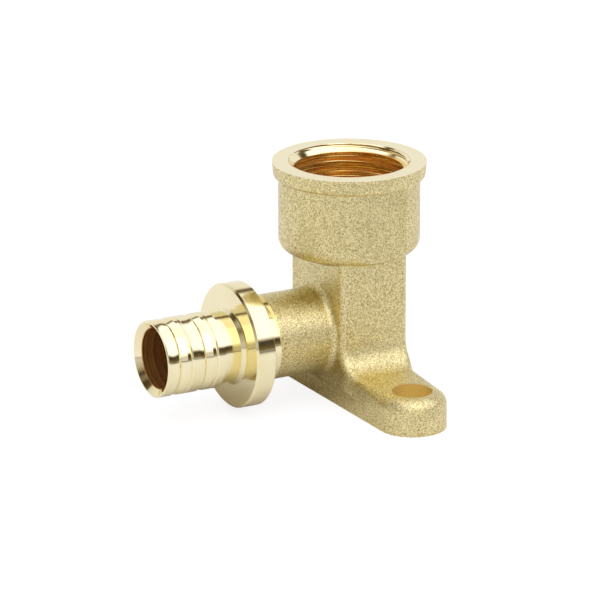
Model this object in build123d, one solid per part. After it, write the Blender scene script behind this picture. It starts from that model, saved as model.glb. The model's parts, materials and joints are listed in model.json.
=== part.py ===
from build123d import *
import math
import os

os.makedirs("parts", exist_ok=True)

# A wall plate elbow forged from one piece of brass and turned where it is bright.
# The socket axis is Z, the pipe spigot points to -X and the two screw ears lie along Y.
# The origin is on the socket axis, in the underside that rests on the wall. Sizes are in mm.

# Socket: a round lip, and below it a collar with two flats that draws in to the tower.
# Each wall is the metal left round the thread.
height = 41.9
thread_major_d = 20.96
thread_depth = 13.0
drill_point = 118.0
mouth_chamfer = 0.12
lip_wall = 2.92
lip_draft = 0.2
lip_height = 2.8
lip_round = 0.8
collar_wall = 1.845
flat_wall = 0.82
collar_bottom_z = 26.7
collar_round = 2.4
underside_slope = 22.0

# Tower: the upright block below the collar, square with round corners
tower_x = 13.5
tower_y = 18.2
corner_round = 1.3

# Base bar with a screw ear at each end
ear_pitch = 44.0
ear_d = 11.86
ear_end_thickness = 6.3
ear_root_thickness = 6.8
ear_round = 2.1
foot_fillet = 4.6
foot_taper = 5.0
waist_z = 3.0
waist_rise = 1.0
screw_hole_d = 7.0

# Horn: the forged root of the spigot
horn_z = 12.4
horn_d = 14.9
horn_end = 17.5
horn_fillet = 1.2

# Turned spigot with its stop collar, all about one axis
spigot_z = 11.95
waterway_d = 10.6
mouth_cone_d = 12.6
mouth_cone_depth = 1.0
neck_d = 12.3
neck_cone = 0.6
stop_front = 24.0
stop_back = 20.4
stop_d = 21.8
stop_chamfer = 0.35
stop_back_chamfer = 0.1
ring_d = 14.8
ring_step_d = 14.4
ring_step = 19.1

# Ribs on the spigot, counted from the stop collar out. Each has a narrow notch, a land, and a barb
# that falls slowly and rises fast, so the pipe slides on over it and doesn't come back.
neck_length = 3.85
first_land = 1.55
mouth_land = 2.5
rib_count = 2
rib_pitch = 4.9
land_d = 13.4
notch_width = 0.5
notch_depth = 0.2
barb_offset = 2.1
barb_fall = 1.25
barb_rise = 0.45
barb_depth = 0.3
mouth_edge = 0.15

ear_y = ear_pitch / 2
half_x, half_y, half_bar = tower_x / 2, tower_y / 2, ear_d / 2
tower_top = collar_bottom_z + 0.7
bend_start = half_y - 0.6
bend_end = bend_start + foot_taper
ear_root_y = bend_end + 0.5
lip_d = thread_major_d + 2 * lip_wall
collar_d = thread_major_d + 2 * collar_wall
collar_flats = thread_major_d + 2 * flat_wall
lip_z = height - lip_height
underside_z = collar_bottom_z - collar_d / 2 * math.tan(math.radians(underside_slope))
point_slope = 1 / math.tan(math.radians(drill_point / 2))
rib_start = stop_front + neck_length
first_notch = rib_start + first_land
last_barb = first_notch + (rib_count - 1) * rib_pitch + barb_offset
spigot_end = last_barb + mouth_land

up = Location((0, 0, 0), (0, -90, 0))
out = Location((0, 0, spigot_z), (0, 0, 180))


def ear_top(y):
    """Height of the ear's upper face at a distance y from the socket axis."""
    slope = (ear_root_thickness - ear_end_thickness) / (ear_y - half_y)
    return ear_root_thickness - slope * (y - half_y)


def web_plan():
    """The tower and the root of the bar seen from above: the sides bend in to the ears' width."""
    middle_x, middle_y = (half_x + half_bar) / 2, (bend_start + bend_end) / 2
    with BuildSketch() as plan:
        with BuildLine():
            Line((half_x, 0), (half_x, bend_start))
            first_bend = TangentArc((half_x, bend_start), (middle_x, middle_y), tangent=(0, 1))
            TangentArc((middle_x, middle_y), (half_bar, bend_end), tangent=first_bend % 1)
            Polyline((half_bar, bend_end), (half_bar, ear_root_y), (0, ear_root_y))
            mirror(about=Plane.YZ)
            mirror(about=Plane.XZ)
        make_face()
    return plan.sketch


def web_side():
    """The tower and the bar seen from the side: sloping ears, a wide fillet and the tower face."""
    right = [(ear_y, 0), (ear_y, ear_top(ear_y)), (half_y, ear_root_thickness), (half_y, tower_top)]
    left = [(-y, z) for y, z in reversed(right)]
    with BuildSketch(Plane.YZ) as side:
        with BuildLine():
            Polyline(*right, *left, close=True)
        make_face()
        foot = [v for v in side.vertices() if abs(v.Y - ear_root_thickness) < 0.01]
        fillet(foot, foot_fillet)
    return side.sketch


def waist_cut(side):
    """The strip beside the bar where the tower is drawn in to the width of the ears."""
    outer = half_x + 2
    rise_x = half_x + 0.05
    points = [(half_bar, -1), (half_bar, waist_z), (rise_x, waist_z + waist_rise)]
    points += [(outer, waist_z + waist_rise), (outer, -1)]
    with BuildSketch(Plane.XZ) as strip:
        with BuildLine():
            Polyline(*[(side * x, z) for x, z in points], close=True)
        make_face()
    return extrude(strip.sketch, ear_y, both=True)


def web():
    """The tower and the root of the bar as one block with rounded upper edges."""
    block = extrude(web_plan(), tower_top) & extrude(web_side(), half_x + 1, both=True)
    block = block - waist_cut(1) - waist_cut(-1)
    rim = []
    for face in block.faces():
        normal = face.normal_at(face.center())
        if abs(normal.X) < 0.01 and abs(face.center().Y) < ear_root_y - 0.01 and abs(normal.Z) < 0.9999:
            rim += [e for e in face.edges() if abs(e.tangent_at(0.5).X) < 0.999]
    return fillet(rim, corner_round)


def ear_section(left):
    """Section across the ear at its hole, from x = left to the +X side, with rounded upper edges."""
    top = ear_top(ear_y)
    with BuildSketch(Plane.XZ.offset(-ear_y)) as section:
        with BuildLine():
            Polyline((left, 0), (left, top), (half_bar, top), (half_bar, 0), close=True)
        make_face()
        fillet([v for v in section.vertices() if v.Y > top - 0.01 and abs(v.X) > 1], ear_round)
    return section.sketch


def ear(root):
    """An ear on the +Y side, from its root face: the edges get rounder towards the round end."""
    arm = loft([root, ear_section(-half_bar)], ruled=True)
    end = revolve(ear_section(0), Axis((0, ear_y, 0), (0, 0, 1)), 180)
    return arm + end


def turned(points, place, rounds=()):
    """A solid of revolution from (distance along the axis, radius) points, with chosen corners rounded."""
    with BuildSketch() as section:
        with BuildLine():
            Polyline(*points, close=True)
        make_face()
        for corner, radius in rounds:
            fillet(section.vertices().sort_by_distance((*corner, 0))[0], radius)
    return place * revolve(section.sketch, Axis.X)


def socket():
    """The lip and the collar, with a flat on each side of the collar."""
    lip_r, collar_r = lip_d / 2, collar_d / 2
    lip_low_r = lip_r - lip_draft
    points = [(height, 0), (height, lip_r), (lip_z, lip_low_r), (lip_z, collar_r)]
    points += [(collar_bottom_z, collar_r), (underside_z, 0)]
    rounds = [((lip_z, lip_low_r), lip_round), ((collar_bottom_z, collar_r), collar_round)]
    body = turned(points, up, rounds)
    flat_height = lip_z - underside_z
    for side in (1, -1):
        middle = Location((0, side * collar_d / 2, underside_z + flat_height / 2))
        body = body - middle * Box(collar_d, collar_d - collar_flats, flat_height)
    return body


def horn():
    """The round forged root of the spigot, which starts inside the tower."""
    length = horn_end - half_x + 2
    middle = Location((-horn_end + length / 2, 0, horn_z), (0, 90, 0))
    return middle * Cylinder(horn_d / 2, length)


def spigot():
    """The turned end: ring, stop collar, neck and ribs."""
    stop_r, neck_r, land_r = stop_d / 2, neck_d / 2, land_d / 2
    points = [(horn_end - 1, 0), (horn_end - 1, ring_d / 2 - 0.4), (horn_end, ring_d / 2 - 0.4)]
    points += [(horn_end, ring_d / 2), (ring_step, ring_d / 2), (ring_step, ring_step_d / 2)]
    points += [(stop_back, ring_step_d / 2), (stop_back, stop_r - stop_back_chamfer)]
    points += [(stop_back + stop_back_chamfer, stop_r), (stop_front - stop_chamfer, stop_r)]
    points += [(stop_front, stop_r - stop_chamfer), (stop_front, neck_r + neck_cone)]
    points += [(stop_front + neck_cone, neck_r), (rib_start, neck_r), (rib_start, land_r)]
    for number in range(rib_count):
        points += rib(first_notch + number * rib_pitch)
    points += [(spigot_end - mouth_edge, land_r), (spigot_end, land_r - mouth_edge), (spigot_end, 0)]
    return turned(points, out)


def rib(notch):
    """Outline of one rib: its notch, then its barb."""
    land_r, barb = land_d / 2, notch + barb_offset
    points = [(notch - notch_width / 2, land_r), (notch, land_r - notch_depth), (notch + notch_width / 2, land_r)]
    return points + [(barb - barb_fall, land_r), (barb, land_r - barb_depth), (barb + barb_rise, land_r)]


def passages():
    """Everything that is bored out: the socket, the waterway round the corner, and its mouth."""
    major_r, way_r = thread_major_d / 2, waterway_d / 2
    floor = height - thread_depth
    cone_end = floor - (major_r - way_r) * point_slope
    well = [(height + 1, 0), (height + 1, major_r + mouth_chamfer), (height, major_r + mouth_chamfer)]
    well += [(height - mouth_chamfer, major_r), (floor, major_r), (cone_end, way_r)]
    well += [(spigot_z, way_r), (spigot_z - way_r * point_slope, 0)]
    run = [(spigot_end + 1, 0), (spigot_end + 1, mouth_cone_d / 2), (spigot_end, mouth_cone_d / 2)]
    run += [(spigot_end - mouth_cone_depth, way_r), (0, way_r), (-way_r * point_slope, 0)]
    return turned(well, up) + turned(run, out)


def screw_holes():
    hole = Cylinder(screw_hole_d / 2, 3 * ear_root_thickness)
    return Location((0, ear_y, 0)) * hole + Location((0, -ear_y, 0)) * hole


tower = web()
right_ear = ear(tower.faces().sort_by(Axis.Y)[-1])
forging = tower + right_ear + mirror(right_ear, about=Plane.XZ) + socket() + horn()
root = [e for e in forging.edges().filter_by(GeomType.CIRCLE) if abs(e.arc_center.X + half_x) < 0.01]
forging = fillet([e for e in root if abs(e.radius - horn_d / 2) < 0.01], horn_fillet)
elbow = forging + spigot() - passages() - screw_holes()
elbow.label = "elbow_body"
export_step(elbow, "parts/elbow_body.step")
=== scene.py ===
"""Looks of a forged brass wall plate elbow, with its socket thread cut and its turned faces bright.

Lengths are in metres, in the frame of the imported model: the socket axis is Z, the pipe spigot
points to -X, the two screw ears lie along Y, and the underside rests on the floor at z = 0.
"""

import json
import math
from functools import partial

import bpy
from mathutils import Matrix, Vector


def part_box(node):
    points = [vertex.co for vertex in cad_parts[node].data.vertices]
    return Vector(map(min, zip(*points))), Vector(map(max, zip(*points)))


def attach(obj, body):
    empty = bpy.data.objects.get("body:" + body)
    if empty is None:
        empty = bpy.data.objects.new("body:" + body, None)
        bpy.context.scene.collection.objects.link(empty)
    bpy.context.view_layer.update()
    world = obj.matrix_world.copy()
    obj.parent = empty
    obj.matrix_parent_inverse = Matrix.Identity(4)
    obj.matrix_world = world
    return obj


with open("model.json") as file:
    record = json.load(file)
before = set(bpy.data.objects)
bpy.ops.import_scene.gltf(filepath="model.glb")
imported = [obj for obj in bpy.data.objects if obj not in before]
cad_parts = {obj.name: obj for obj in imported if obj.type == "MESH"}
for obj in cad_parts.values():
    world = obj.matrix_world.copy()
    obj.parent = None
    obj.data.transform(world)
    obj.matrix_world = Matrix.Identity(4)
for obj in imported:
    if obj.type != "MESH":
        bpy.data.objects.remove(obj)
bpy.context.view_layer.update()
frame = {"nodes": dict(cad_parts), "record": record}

MM = 0.001
mounts = {mount["name"]: mount for mount in frame["record"]["mounts"]}
BODY = "elbow_body"

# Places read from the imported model
TOP_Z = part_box(BODY)[1].z
BORE_R = mounts["socket_thread"]["dims"]["r_mm"] * MM
THREAD_LENGTH = mounts["socket_thread"]["dims"]["length_mm"] * MM
SPIGOT_Z = mounts["pipe_spigot"]["pos_m"][2]
EAR_Y = mounts["wall_screws"]["dims"]["spacing_y_mm"] * MM / 2
SCREW_R = mounts["wall_screws"]["dims"]["hole_r_mm"] * MM

# Places that no mount states. The socket's floor is the cone of a drill. The waterway's radius and
# the start of the spigot's turned length each have a small margin.
SOCKET_DEPTH = 13.0 * MM
BORE_FLOOR_Z = TOP_Z - SOCKET_DEPTH
DRILL_POINT = 118.0
POINT_SLOPE = 1.0 / math.tan(math.radians(DRILL_POINT / 2))
WATERWAY_R = 5.4 * MM
TURNED_X = 17.45 * MM

# How far a turned zone reaches past its surface, so that the surface lies inside it
FACE_REACH = 0.02 * MM
BORE_REACH = 0.1 * MM
FLOOR_REACH = 0.3 * MM
HOLE_REACH = 0.03 * MM

# The socket thread: a right-hand pipe thread, 14 turns to the inch, with 55 degree flanks. Each root
# is cut off by a sixth of the sharp V. It starts at a share of a turn, and a cone opens its mouth.
PITCH = 1.8143 * MM
SHARP_V = 0.9605 * PITCH
CUT_OFF = SHARP_V / 6
CREST_R = BORE_R - 1.16 * MM
ROOT_R = BORE_R - 0.03 * MM
SLEEVE_R = BORE_R + 0.02 * MM
THREAD_START = 0.35
CONE_WIDTH = 1.0 * MM
CONE_DEPTH = 1.1 * MM
CONE_EDGE = 0.1 * MM
COLUMNS = 193
ROWS_PER_TURN = 20
WELD = 0.002 * MM
TINY = 0.0001

# Brass as it is forged and blasted, and as it is turned. The holes, the bore and the thread get deeper,
# more orange copies of the turned brass: painted shade and reflection of their hollows. The darker ones
# of the bore and the thread make streaks along the tool's rings.
BLASTED = (1.0, 0.89, 0.455)
BLASTED_DARK = (0.33, 0.23, 0.05)
TURNED = (0.95, 0.865, 0.52)
TURNED_DARK = (0.88, 0.75, 0.37)
HOLE_PAINTED_SHADE = (1.0, 0.83, 0.36)
BORE_PAINTED_SHADE = (1.0, 0.68, 0.26)
BORE_STREAK_PAINTED_SHADE = (0.66, 0.36, 0.08)
THREAD_PAINTED_SHADE = (1.0, 0.82, 0.3)
THREAD_STREAK_PAINTED_SHADE = (0.78, 0.36, 0.04)
WHITE = (1.0, 1.0, 1.0)

# How much of the darker colour the slow clouds of tone bring
BLASTED_CLOUDS = 0.12
TURNED_CLOUDS = 0.5
THREAD_CLOUDS = 0.4
CLOUD_EDGE = (0.4, 0.75)

# Sizes of the patterns, as noise scales or as marks to the metre
GRAIN_SCALE = 10500.0
PIT_SCALE = 5600.0
FACET_SCALE = 7400.0
CLOUD_SCALE = 180.0
WAVES_PER_METRE = 450.0
RINGS_OUTSIDE = 6000.0
RINGS_IN_WATERWAY = 2200.0
RINGS_IN_SOCKET = 3500.0

# Where each pattern turns from light to dark, or from smooth to rough
FACET_SHARE = 0.4
SPECK_EDGE = (0.42, 0.66)
BORED_STREAK_EDGE = (0.4, 0.6)
THREAD_STREAK_EDGE = (0.44, 0.56)
PIT_EDGE = (0.35, 0.65)
RING_EDGE = (0.35, 0.7)

# Roughness, and how much of the holes' colour is plain instead of metal, and of the thread's metal
BLASTED_ROUGH = (0.3, 0.42)
TURNED_ROUGH = (0.08, 0.16)
BORED_ROUGHER = 0.1
BORED_PLAIN = 0.1
HOLE_PLAIN = 0.25
THREAD_METAL = 0.88

# Heights of the bumps, and the share of each height that shows. The waves start beyond the neck.
GRAIN_HEIGHT = 0.06 * MM
GRAIN_SHARE = 0.6
WAVE_HEIGHT = 0.2 * MM
WAVE_SHARE = 0.7
WAVY_FROM_X = -27.0 * MM
WAVY_FULL_X = -28.0 * MM
RING_HEIGHT = 0.04 * MM
TURNED_RING_SHARE = 0.05
DRILLED_RING_SHARE = 0.9
THREAD_RING_HEIGHT = 0.05 * MM
THREAD_RING_SHARE = 0.9

# The floor. The camera sees its glow, and on it a plain shade that takes a faint shadow. The metal
# sees it pale, dark from some way in front, and darker in a round patch beside the horn: a painted shadow.
FLOOR_HALF = 1.6
FLOOR_GLOW = 0.82
FLOOR_SHADE = (0.26, 0.26, 0.26)
FLOOR_PALE = (0.88, 0.88, 0.87)
FLOOR_DARK = (0.12, 0.11, 0.1)
FLOOR_DARK_Y = (-0.13, -0.3)
PAINTED_SHADOW_COLOUR = (0.4, 0.34, 0.24)
PAINTED_SHADOW_X = -0.014
PAINTED_SHADOW_Y = 0.016
PAINTED_SHADOW_EDGE = (0.012, 0.028)

# The room, by the x, y and z of the direction in which the metal sees it. The wall's top and the
# softbox's edge both rise with y. An edge is a pair of values between which one turns into the other.
WALL_SLOPE = 0.4
WALL_RISE = 0.36
WALL_EDGE = (-0.04, 0.03)
WALL_LEVEL = 0.9
WALL_COLOUR = (1.0, 0.99, 1.06)
SOFTBOX_SLOPE = 0.35
SOFTBOX_RISE = 0.62
SOFTBOX_HIGHEST = 0.76
SOFTBOX_EDGE = (-0.05, 0.04)
SOFTBOX_LEVEL = 1.4
SOFTBOX_COLOUR = (1.0, 1.0, 1.18)
ZENITH_EDGE = (0.88, 0.96)
ZENITH_LEVEL = 1.2
GAP_FADE = 0.25
GAP_LOW = 0.18
GAP_HIGH = 0.01
GAP_COLOUR = (1.0, 0.66, 0.28)
GAP_TINT_EDGE = (0.1, 0.6)
STRIP_LEFT_EDGE = (0.3, 0.1)
STRIP_RIGHT_EDGE = (0.58, 0.7)
FRONT_EDGE = (-0.1, -0.3)
SIDE_LEVEL = 0.6
LEFT_EDGE = (-0.9, -0.1)
LEFT_SHARE = 0.68

# The photograph's view, with a long lens. Azimuth 0 is in front, at -Y.
SENSOR = 36.0
CAMERA_LENS = 275.42
CAMERA_AZIMUTH = -29.113
CAMERA_ELEVATION = 18.173
CAMERA_DISTANCE = 0.8
CAMERA_TARGET = Vector((-7.961, 3.222, 16.776)) * MM
CAMERA_CLIP = (0.01, 20.0)


# Node helpers

def link_to(tree, value, socket):
    """Wires value into socket, or sets it there when it is a plain number, vector or colour."""
    if isinstance(value, bpy.types.NodeSocket):
        tree.links.new(value, socket)
    else:
        socket.default_value = value


def link_named(tree, node, values):
    """Wires or sets a node's inputs by their names."""
    for name, value in values.items():
        link_to(tree, value, node.inputs[name])


def math_node(tree, operation, *values):
    """The result of one Math node."""
    node = tree.nodes.new("ShaderNodeMath")
    node.operation = operation
    for socket, value in zip(node.inputs, values):
        link_to(tree, value, socket)
    return node.outputs[0]


def diagonal(tree, first, second):
    """The length of a step of first one way and second square to it."""
    calc = partial(math_node, tree)
    return calc("SQRT", calc("ADD", calc("POWER", first, 2.0), calc("POWER", second, 2.0)))


def ramp(tree, value, low, high, start=0.0, end=1.0):
    """start at value = low and below, end at value = high and above."""
    node = tree.nodes.new("ShaderNodeMapRange")
    link_named(tree, node, {"Value": value, "From Min": low, "From Max": high})
    link_named(tree, node, {"To Min": start, "To Max": end})
    return node.outputs["Result"]


def mix_number(tree, factor, first, second):
    """first at factor = 0, second at factor = 1."""
    node = tree.nodes.new("ShaderNodeMix")
    link_named(tree, node, {"Factor": factor, "A": first, "B": second})
    return node.outputs["Result"]


def mix_colour(tree, factor, first, second):
    """The first colour at factor = 0, the second at factor = 1."""
    node = tree.nodes.new("ShaderNodeMix")
    node.data_type = "RGBA"
    link_to(tree, factor, node.inputs["Factor"])
    for name, value in (("A", first), ("B", second)):
        socket = next(s for s in node.inputs if s.name == name and s.type == "RGBA")
        link_to(tree, (*value, 1.0) if isinstance(value, tuple) else value, socket)
    return next(s for s in node.outputs if s.type == "RGBA")


def noise(tree, vector, scale, detail):
    """Noise over a surface."""
    node = tree.nodes.new("ShaderNodeTexNoise")
    link_named(tree, node, {"Vector": vector, "Scale": scale, "Detail": detail})
    return node.outputs["Fac"]


def noise_along(tree, path, per_metre, detail):
    """Noise along a line, with so many changes to the metre."""
    node = tree.nodes.new("ShaderNodeTexNoise")
    node.noise_dimensions = "1D"
    steps = math_node(tree, "MULTIPLY", path, per_metre)
    link_named(tree, node, {"W": steps, "Scale": 1.0, "Detail": detail})
    return node.outputs["Fac"]


def bump(tree, height, distance, strength, normal=None):
    """The normal of a bumpy surface, on top of another bump's normal if there is one."""
    node = tree.nodes.new("ShaderNodeBump")
    link_named(tree, node, {"Distance": distance, "Strength": strength, "Height": height})
    if normal is not None:
        link_to(tree, normal, node.inputs["Normal"])
    return node.outputs["Normal"]


def parts_of(tree, vector):
    """The x, y and z of a vector."""
    node = tree.nodes.new("ShaderNodeSeparateXYZ")
    link_to(tree, vector, node.inputs[0])
    return node.outputs


def object_place(tree):
    """The point of the surface, in the object's own coordinates."""
    return tree.nodes.new("ShaderNodeTexCoord").outputs["Object"]


def seen_by_camera(tree):
    """1 for what the camera sees directly, 0 for what the metal sees."""
    return tree.nodes.new("ShaderNodeLightPath").outputs["Is Camera Ray"]


def new_group(name, inputs, outputs):
    """A shader group with sockets from {name: kind}.
    Returns its tree, the values given to it, and the node that takes its results."""
    tree = bpy.data.node_groups.new(name, "ShaderNodeTree")
    for in_out, sockets in (("INPUT", inputs), ("OUTPUT", outputs)):
        for socket, kind in sockets.items():
            tree.interface.new_socket(socket, in_out=in_out, socket_type="NodeSocket" + kind)
    return tree, tree.nodes.new("NodeGroupInput").outputs, tree.nodes.new("NodeGroupOutput")


def place_group(tree, group, values):
    """Puts a shader group in a tree with its own values. Returns its outputs."""
    node = tree.nodes.new("ShaderNodeGroup")
    node.node_tree = group
    link_named(tree, node, values)
    return node.outputs


# Shared effects

def turning_marks_group():
    """What a turning tool leaves round an axis: fine rings, and slow waves that break up reflections."""
    tree, given, result = new_group(
        "turning marks",
        {"Along": "Float", "Out": "Float", "Per metre": "Float"},
        {"Rings": "Float", "Waves": "Float", "Rough": "Float"},
    )
    path = math_node(tree, "ADD", given["Along"], given["Out"])
    rings = noise_along(tree, path, given["Per metre"], 2.0)
    waves = noise_along(tree, path, WAVES_PER_METRE, 0.0)
    rough = ramp(tree, rings, *RING_EDGE, *TURNED_ROUGH)
    link_named(tree, result, {"Rings": rings, "Waves": waves, "Rough": rough})
    return tree


def brass_tone_group():
    """Slow changes of tone over the metal, between a clean colour and a darker one."""
    tree, given, result = new_group(
        "brass tone",
        {"Clean": "Color", "Dark": "Color", "Amount": "Float"},
        {"Colour": "Color"},
    )
    clouds = ramp(tree, noise(tree, object_place(tree), CLOUD_SCALE, 4.0), *CLOUD_EDGE)
    factor = math_node(tree, "MULTIPLY", clouds, given["Amount"])
    link_named(tree, result, {"Colour": mix_colour(tree, factor, given["Clean"], given["Dark"])})
    return tree


def turned_zones_group():
    """Which surfaces are turned: the spigot, the socket's top and bore, and the screw holes.
    It also gives each point's place along and its distance from the X and Z axes of the turning."""
    names = ("Turned", "Bored", "Hole", "Round X", "Along X", "From X", "Along Z", "From Z")
    tree, _, result = new_group("turned zones", {}, {name: "Float" for name in names})
    calc = partial(math_node, tree)
    x, y, z = parts_of(tree, object_place(tree))
    from_z = diagonal(tree, x, y)
    from_x = diagonal(tree, calc("SUBTRACT", z, SPIGOT_Z), y)
    from_screw = diagonal(tree, x, calc("SUBTRACT", calc("ABSOLUTE", y), EAR_Y))

    spigot = calc("LESS_THAN", x, -TURNED_X)
    top = calc("GREATER_THAN", z, TOP_Z - FACE_REACH)
    hole = calc("LESS_THAN", from_screw, SCREW_R + HOLE_REACH)
    cone = calc("MULTIPLY", calc("SUBTRACT", BORE_R, from_z), POINT_SLOPE)
    over_floor = calc("GREATER_THAN", calc("ADD", z, cone), BORE_FLOOR_Z - FLOOR_REACH)
    bore = calc("MULTIPLY", calc("LESS_THAN", from_z, BORE_R + BORE_REACH), over_floor)
    run = calc("MULTIPLY", calc("LESS_THAN", from_x, WATERWAY_R), calc("LESS_THAN", x, WATERWAY_R))
    rise = calc("MULTIPLY", calc("LESS_THAN", from_z, WATERWAY_R), calc("GREATER_THAN", z, WATERWAY_R))
    bored = calc("MAXIMUM", bore, calc("MAXIMUM", run, rise))
    turned = calc("MAXIMUM", calc("MAXIMUM", spigot, top), calc("MAXIMUM", bored, hole))
    round_x = calc("MAXIMUM", spigot, run)
    link_named(tree, result, dict(zip(names, (turned, bored, hole, round_x, x, from_x, z, from_z))))
    return tree


# Materials

def start_material(name):
    """A new material. Returns it, its tree and its Principled shader."""
    material = bpy.data.materials.new(name)
    material.use_nodes = True
    tree = material.node_tree
    return material, tree, tree.nodes["Principled BSDF"]


def toned(tree, tone, clean, dark, amount):
    """A colour with slow clouds of a darker one."""
    return place_group(tree, tone, {"Clean": (*clean, 1.0), "Dark": (*dark, 1.0), "Amount": amount})["Colour"]


def marks_along(tree, marks, zone, axis, per_metre):
    """The turning marks round the X or the Z axis."""
    return place_group(tree, marks, {
        "Along": zone["Along " + axis],
        "Out": zone["From " + axis],
        "Per metre": per_metre,
    })


def elbow_brass(zones, marks, tone):
    """The body's material: blasted forging, and turned metal inside the turned zones. In the bore and the
    screw holes that metal has deeper, more orange colours: painted shade and reflection of the hollows.
    """
    material, tree, shader = start_material("forged and turned brass")
    calc = partial(math_node, tree)
    place = object_place(tree)
    zone = place_group(tree, zones, {})
    turned, bored, hole = zone["Turned"], zone["Bored"], zone["Hole"]
    drilled = calc("MAXIMUM", bored, hole)

    grain = noise(tree, place, GRAIN_SCALE, 1.0)
    pits = noise(tree, place, PIT_SCALE, 1.0)
    facets = tree.nodes.new("ShaderNodeTexVoronoi")
    link_named(tree, facets, {"Vector": place, "Scale": FACET_SCALE})
    facet_part = calc("MULTIPLY", facets.outputs["Color"], FACET_SHARE)
    specks = calc("ADD", facet_part, calc("MULTIPLY", grain, 1.0 - FACET_SHARE))
    blasted = toned(tree, tone, BLASTED, BLASTED_DARK, BLASTED_CLOUDS)
    blasted = mix_colour(tree, ramp(tree, specks, *SPECK_EDGE), blasted, BLASTED_DARK)

    per_metre_x = ramp(tree, bored, 0.0, 1.0, RINGS_OUTSIDE, RINGS_IN_WATERWAY)
    per_metre_z = ramp(tree, drilled, 0.0, 1.0, RINGS_OUTSIDE, RINGS_IN_SOCKET)
    along_x = marks_along(tree, marks, zone, "X", per_metre_x)
    along_z = marks_along(tree, marks, zone, "Z", per_metre_z)
    rings, waves, cut = [
        mix_number(tree, zone["Round X"], along_z[name], along_x[name])
        for name in ("Rings", "Waves", "Rough")
    ]
    bright = toned(tree, tone, TURNED, TURNED_DARK, TURNED_CLOUDS)
    # The bore's colour: a darker, more orange copy of the turned brass, streaked along the tool's rings, as
    # painted shade of the hollow.
    streaks_and_painted_shade = mix_colour(tree, ramp(tree, rings, *BORED_STREAK_EDGE), BORE_PAINTED_SHADE, BORE_STREAK_PAINTED_SHADE)
    bright = mix_colour(tree, bored, bright, streaks_and_painted_shade)
    # The screw holes' colour: a more orange copy of the turned brass, as painted shade and reflection of the
    # hole's walls.
    bright = mix_colour(tree, hole, bright, HOLE_PAINTED_SHADE)
    link_to(tree, mix_colour(tree, turned, blasted, bright), shader.inputs["Base Color"])

    plain = calc("ADD", calc("MULTIPLY", bored, BORED_PLAIN), calc("MULTIPLY", hole, HOLE_PLAIN))
    link_to(tree, calc("SUBTRACT", 1.0, plain), shader.inputs["Metallic"])
    skin_rough = ramp(tree, pits, *PIT_EDGE, *BLASTED_ROUGH)
    cut_rough = calc("ADD", cut, calc("MULTIPLY", bored, BORED_ROUGHER))
    link_to(tree, mix_number(tree, turned, skin_rough, cut_rough), shader.inputs["Roughness"])

    grainy = calc("MULTIPLY", calc("SUBTRACT", 1.0, turned), GRAIN_SHARE)
    normal = bump(tree, calc("ADD", grain, pits), GRAIN_HEIGHT, grainy)
    wavy = ramp(tree, zone["Along X"], WAVY_FROM_X, WAVY_FULL_X, 0.0, WAVE_SHARE)
    normal = bump(tree, waves, WAVE_HEIGHT, wavy, normal)
    scored = calc("MULTIPLY", turned, TURNED_RING_SHARE)
    scored = calc("ADD", scored, calc("MULTIPLY", drilled, DRILLED_RING_SHARE))
    link_to(tree, bump(tree, rings, RING_HEIGHT, scored, normal), shader.inputs["Normal"])
    return material


def thread_brass(zones, marks, tone):
    """The thread's material: turned metal with the tool's marks along its flanks. Below the mouth's cone its
    colour turns into a darker, more orange copy with dark streaks: painted shade of the socket's depth.
    """
    material, tree, shader = start_material("turned thread brass")
    zone = place_group(tree, zones, {})
    marked = marks_along(tree, marks, zone, "Z", RINGS_IN_SOCKET)
    # Below the mouth's cone: a darker, more orange copy of the turned brass, streaked along the tool's rings,
    # as painted shade of the socket's depth.
    streaks_and_painted_shade = mix_colour(tree, ramp(tree, marked["Rings"], *THREAD_STREAK_EDGE), THREAD_PAINTED_SHADE, THREAD_STREAK_PAINTED_SHADE)
    bright = toned(tree, tone, TURNED, TURNED_DARK, THREAD_CLOUDS)
    cone_end = TOP_Z - CONE_DEPTH
    inside = ramp(tree, zone["Along Z"], cone_end - CONE_EDGE, cone_end, 1.0, 0.0)
    scored = math_node(tree, "MULTIPLY", inside, THREAD_RING_SHARE)
    link_named(tree, shader, {
        "Base Color": mix_colour(tree, inside, bright, streaks_and_painted_shade),
        "Metallic": ramp(tree, inside, 0.0, 1.0, 1.0, THREAD_METAL),
        "Roughness": marked["Rough"],
        "Normal": bump(tree, marked["Rings"], THREAD_RING_HEIGHT, scored),
    })
    return material


# The socket thread

def new_object(name, data):
    """A new object in the scene."""
    thing = bpy.data.objects.new(name, data)
    bpy.context.scene.collection.objects.link(thing)
    return thing


def geometry_tree(name, inputs):
    """A geometry tree with one geometry output and named inputs with defaults.
    Returns the tree, its inputs, and the socket that takes the result."""
    tree = bpy.data.node_groups.new(name, "GeometryNodeTree")
    for socket, value in inputs.items():
        kind = "NodeSocketInt" if isinstance(value, int) else "NodeSocketFloat"
        tree.interface.new_socket(socket, in_out="INPUT", socket_type=kind).default_value = value
    tree.interface.new_socket("Geometry", in_out="OUTPUT", socket_type="NodeSocketGeometry")
    given = tree.nodes.new("NodeGroupInput").outputs
    return tree, given, tree.nodes.new("NodeGroupOutput").inputs["Geometry"]


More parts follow.
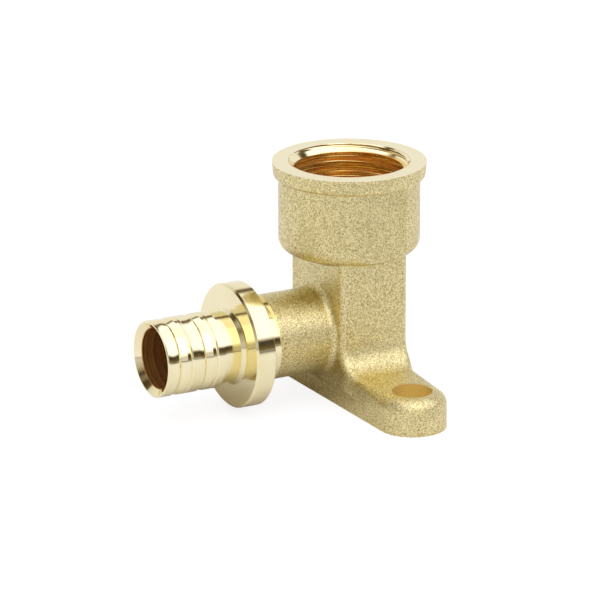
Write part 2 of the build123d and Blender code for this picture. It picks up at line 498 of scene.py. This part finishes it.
def thread_tree(material):
    """The thread as a sleeve: rows of the inner wall follow the helix, and a plain wall closes it."""
    tree, given, result = geometry_tree("socket thread", {
        "Top": TOP_Z,
        "Length": THREAD_LENGTH,
        "Pitch": PITCH,
        "Root radius": ROOT_R,
        "Crest radius": CREST_R,
        "Outer radius": SLEEVE_R,
        "Columns": COLUMNS,
        "Rows per turn": ROWS_PER_TURN,
    })
    calc = partial(math_node, tree)
    turns = calc("ADD", calc("CEIL", calc("DIVIDE", given["Length"], given["Pitch"])), 1.0)
    rows = calc("ADD", calc("MULTIPLY", turns, given["Rows per turn"]), 1.0)

    def wall(row_count):
        """A unit grid, with its angle round the axis and its share of the way down."""
        grid = tree.nodes.new("GeometryNodeMeshGrid")
        link_named(tree, grid, {"Vertices X": given["Columns"], "Vertices Y": row_count})
        across, along, _ = parts_of(tree, tree.nodes.new("GeometryNodeInputPosition").outputs[0])
        angle = calc("MULTIPLY", calc("ADD", across, 0.5), math.tau)
        return grid.outputs["Mesh"], angle, calc("SUBTRACT", 0.5, along)

    def set_round(mesh, angle, radius, down):
        """Bends a grid round the axis at a radius, and at a depth below the top."""
        turned_angle = calc("ADD", angle, THREAD_START * math.tau)
        spot = tree.nodes.new("ShaderNodeCombineXYZ")
        link_named(tree, spot, {
            "X": calc("MULTIPLY", radius, calc("COSINE", turned_angle)),
            "Y": calc("MULTIPLY", radius, calc("SINE", turned_angle)),
            "Z": calc("SUBTRACT", given["Top"], down),
        })
        node = tree.nodes.new("GeometryNodeSetPosition")
        link_named(tree, node, {"Geometry": mesh, "Position": spot.outputs[0]})
        return node.outputs["Geometry"]

    mesh, angle, share = wall(rows)
    path = calc("MULTIPLY", share, turns)
    lead = calc("SUBTRACT", path, calc("DIVIDE", angle, math.tau))
    down = calc("MAXIMUM", calc("MULTIPLY", lead, given["Pitch"]), 0.0)
    down = calc("MINIMUM", down, given["Length"])
    phase = calc("SUBTRACT", calc("MULTIPLY", calc("FRACT", calc("ADD", path, TINY)), 2.0), 1.0)
    flank = calc("MULTIPLY", calc("SUBTRACT", 1.0, calc("ABSOLUTE", phase)), SHARP_V)
    cut = calc("SUBTRACT", calc("ADD", given["Root radius"], CUT_OFF), flank)
    cut = calc("MINIMUM", calc("MAXIMUM", cut, given["Crest radius"]), given["Root radius"])
    cone = calc("SUBTRACT", given["Root radius"], calc("MULTIPLY", down, CONE_WIDTH / CONE_DEPTH))
    inner = calc("MAXIMUM", cut, cone)
    open_end = calc("MAXIMUM", calc("LESS_THAN", share, TINY), calc("GREATER_THAN", share, 1.0 - TINY))
    inner = calc("MAXIMUM", inner, calc("MULTIPLY", open_end, given["Outer radius"]))
    inner_wall = set_round(mesh, angle, inner, down)

    mesh, angle, share = wall(2)
    outer_wall = set_round(mesh, angle, given["Outer radius"], calc("MULTIPLY", share, given["Length"]))
    flip = tree.nodes.new("GeometryNodeFlipFaces")
    link_to(tree, outer_wall, flip.inputs["Mesh"])

    join = tree.nodes.new("GeometryNodeJoinGeometry")
    for part in (inner_wall, flip.outputs["Mesh"]):
        tree.links.new(part, join.inputs["Geometry"])
    finished = join.outputs[0]
    for kind, values in (
        ("MergeByDistance", {"Distance": WELD}),
        ("SetShadeSmooth", {"Shade Smooth": False}),
        ("RealizeInstances", {}),
        ("SetMaterial", {"Material": material}),
    ):
        node = tree.nodes.new("GeometryNode" + kind)
        link_named(tree, node, {"Geometry": finished, **values})
        finished = node.outputs["Geometry"]
    link_to(tree, finished, result)
    return tree


def made_by(tree, name):
    """Runs a geometry tree and keeps its result as a plain mesh object."""
    holder = new_object(name + "_maker", bpy.data.meshes.new(name + "_maker"))
    holder.modifiers.new("maker", "NODES").node_group = tree
    graph = bpy.context.evaluated_depsgraph_get()
    mesh = bpy.data.meshes.new_from_object(holder.evaluated_get(graph))
    bpy.data.objects.remove(holder)
    return new_object(name, mesh)


# Studio

def floor_material():
    """Pale floor. The camera sees it white with a faint shadow. The metal sees it pale, dark from some way in
    front, and darker in a small patch beside the horn: a painted shadow."""
    material = bpy.data.materials.new("pale floor")
    material.use_nodes = True
    tree = material.node_tree
    tree.nodes.clear()
    calc = partial(math_node, tree)
    x, y, _ = parts_of(tree, object_place(tree))
    shade = mix_colour(tree, ramp(tree, y, *FLOOR_DARK_Y), FLOOR_PALE, FLOOR_DARK)
    # A painted shadow: within a small round patch beside the horn, the floor is darker to the metal.
    from_painted_shadow = diagonal(tree, calc("SUBTRACT", x, PAINTED_SHADOW_X), calc("SUBTRACT", y, PAINTED_SHADOW_Y))
    shade = mix_colour(tree, ramp(tree, from_painted_shadow, *PAINTED_SHADOW_EDGE), PAINTED_SHADOW_COLOUR, shade)
    sight = seen_by_camera(tree)
    matt = tree.nodes.new("ShaderNodeBsdfDiffuse")
    link_to(tree, mix_colour(tree, sight, shade, FLOOR_SHADE), matt.inputs["Color"])
    glow = tree.nodes.new("ShaderNodeEmission")
    link_to(tree, calc("MULTIPLY", sight, FLOOR_GLOW), glow.inputs["Strength"])
    both = tree.nodes.new("ShaderNodeAddShader")
    tree.links.new(matt.outputs[0], both.inputs[0])
    tree.links.new(glow.outputs[0], both.inputs[1])
    tree.links.new(both.outputs[0], tree.nodes.new("ShaderNodeOutputMaterial").inputs["Surface"])
    return material


def floor():
    """A wide plane that the underside rests on."""
    mesh = bpy.data.meshes.new("floor")
    half = FLOOR_HALF
    corners = [(-half, -half, 0), (half, -half, 0), (half, half, 0), (-half, half, 0)]
    mesh.from_pydata(corners, [], [(0, 1, 2, 3)])
    mesh.materials.append(floor_material())
    new_object("floor", mesh)


def room():
    """A white room to the camera. The metal sees a big softbox overhead that comes down in front,
    a pale wall that rises behind, and a dark gap between the two. In front, the gap is dark only
    in a strip to the right of the middle, and pale beside it."""
    world = bpy.data.worlds.new("white room")
    bpy.context.scene.world = world
    world.use_nodes = True
    tree = world.node_tree
    calc = partial(math_node, tree)
    x, y, z = parts_of(tree, tree.nodes.new("ShaderNodeTexCoord").outputs["Generated"])

    over_wall = calc("SUBTRACT", z, calc("ADD", calc("MULTIPLY", y, WALL_SLOPE), WALL_RISE))
    gap = ramp(tree, over_wall, 0.0, GAP_FADE, GAP_LOW, GAP_HIGH)
    beside_strip = calc("MAXIMUM", ramp(tree, x, *STRIP_LEFT_EDGE), ramp(tree, x, *STRIP_RIGHT_EDGE))
    pale_side = calc("MULTIPLY", beside_strip, ramp(tree, y, *FRONT_EDGE))
    gap = calc("ADD", gap, calc("MULTIPLY", pale_side, SIDE_LEVEL))
    level = mix_number(tree, ramp(tree, over_wall, *WALL_EDGE), WALL_LEVEL, gap)

    box_edge = calc("ADD", calc("MULTIPLY", y, SOFTBOX_SLOPE), SOFTBOX_RISE)
    box_edge = calc("MINIMUM", box_edge, SOFTBOX_HIGHEST)
    in_box = ramp(tree, calc("SUBTRACT", z, box_edge), *SOFTBOX_EDGE)
    level = mix_number(tree, in_box, level, ramp(tree, z, *ZENITH_EDGE, SOFTBOX_LEVEL, ZENITH_LEVEL))
    level = calc("MULTIPLY", level, ramp(tree, x, *LEFT_EDGE, LEFT_SHARE, 1.0))
    tint = mix_colour(tree, in_box, WALL_COLOUR, SOFTBOX_COLOUR)
    tint = mix_colour(tree, ramp(tree, level, *GAP_TINT_EDGE), GAP_COLOUR, tint)

    sight = seen_by_camera(tree)
    link_named(tree, tree.nodes["Background"], {
        "Strength": mix_number(tree, sight, level, 1.0),
        "Color": mix_colour(tree, sight, tint, WHITE),
    })


def aim(thing, target, azimuth, elevation, distance):
    """Stands a camera or a lamp off from a target and turns it to face it. Angles are in degrees."""
    a, e = math.radians(azimuth), math.radians(elevation)
    back = Vector((math.sin(a) * math.cos(e), -math.cos(a) * math.cos(e), math.sin(e)))
    thing.location = target + back * distance
    thing.rotation_euler = back.to_track_quat("Z", "Y").to_euler()


def key_lamp(azimuth, elevation, distance, size, watts):
    """A square lamp that faces the object."""
    light = bpy.data.lights.new("key", "AREA")
    light.size = size
    light.energy = watts
    aim(new_object("key", light), Vector(), azimuth, elevation, distance)


def camera():
    """The photograph's view."""
    data = bpy.data.cameras.new("camera")
    data.sensor_width = SENSOR
    data.lens = CAMERA_LENS
    data.clip_start, data.clip_end = CAMERA_CLIP
    view = new_object("camera", data)
    aim(view, CAMERA_TARGET, CAMERA_AZIMUTH, CAMERA_ELEVATION, CAMERA_DISTANCE)
    bpy.context.scene.camera = view


# Making

zones, marks, tone = turned_zones_group(), turning_marks_group(), brass_tone_group()

body = frame["nodes"][BODY]
body.data.materials.clear()
body.data.materials.append(elbow_brass(zones, marks, tone))

thread = made_by(thread_tree(thread_brass(zones, marks, tone)), "socket_thread")
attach(thread, "root")

floor()
room()
key_lamp(azimuth=-18.0, elevation=42.0, distance=0.9, size=1.0, watts=1.0)
camera()
bpy.context.scene.view_settings.view_transform = "Standard"
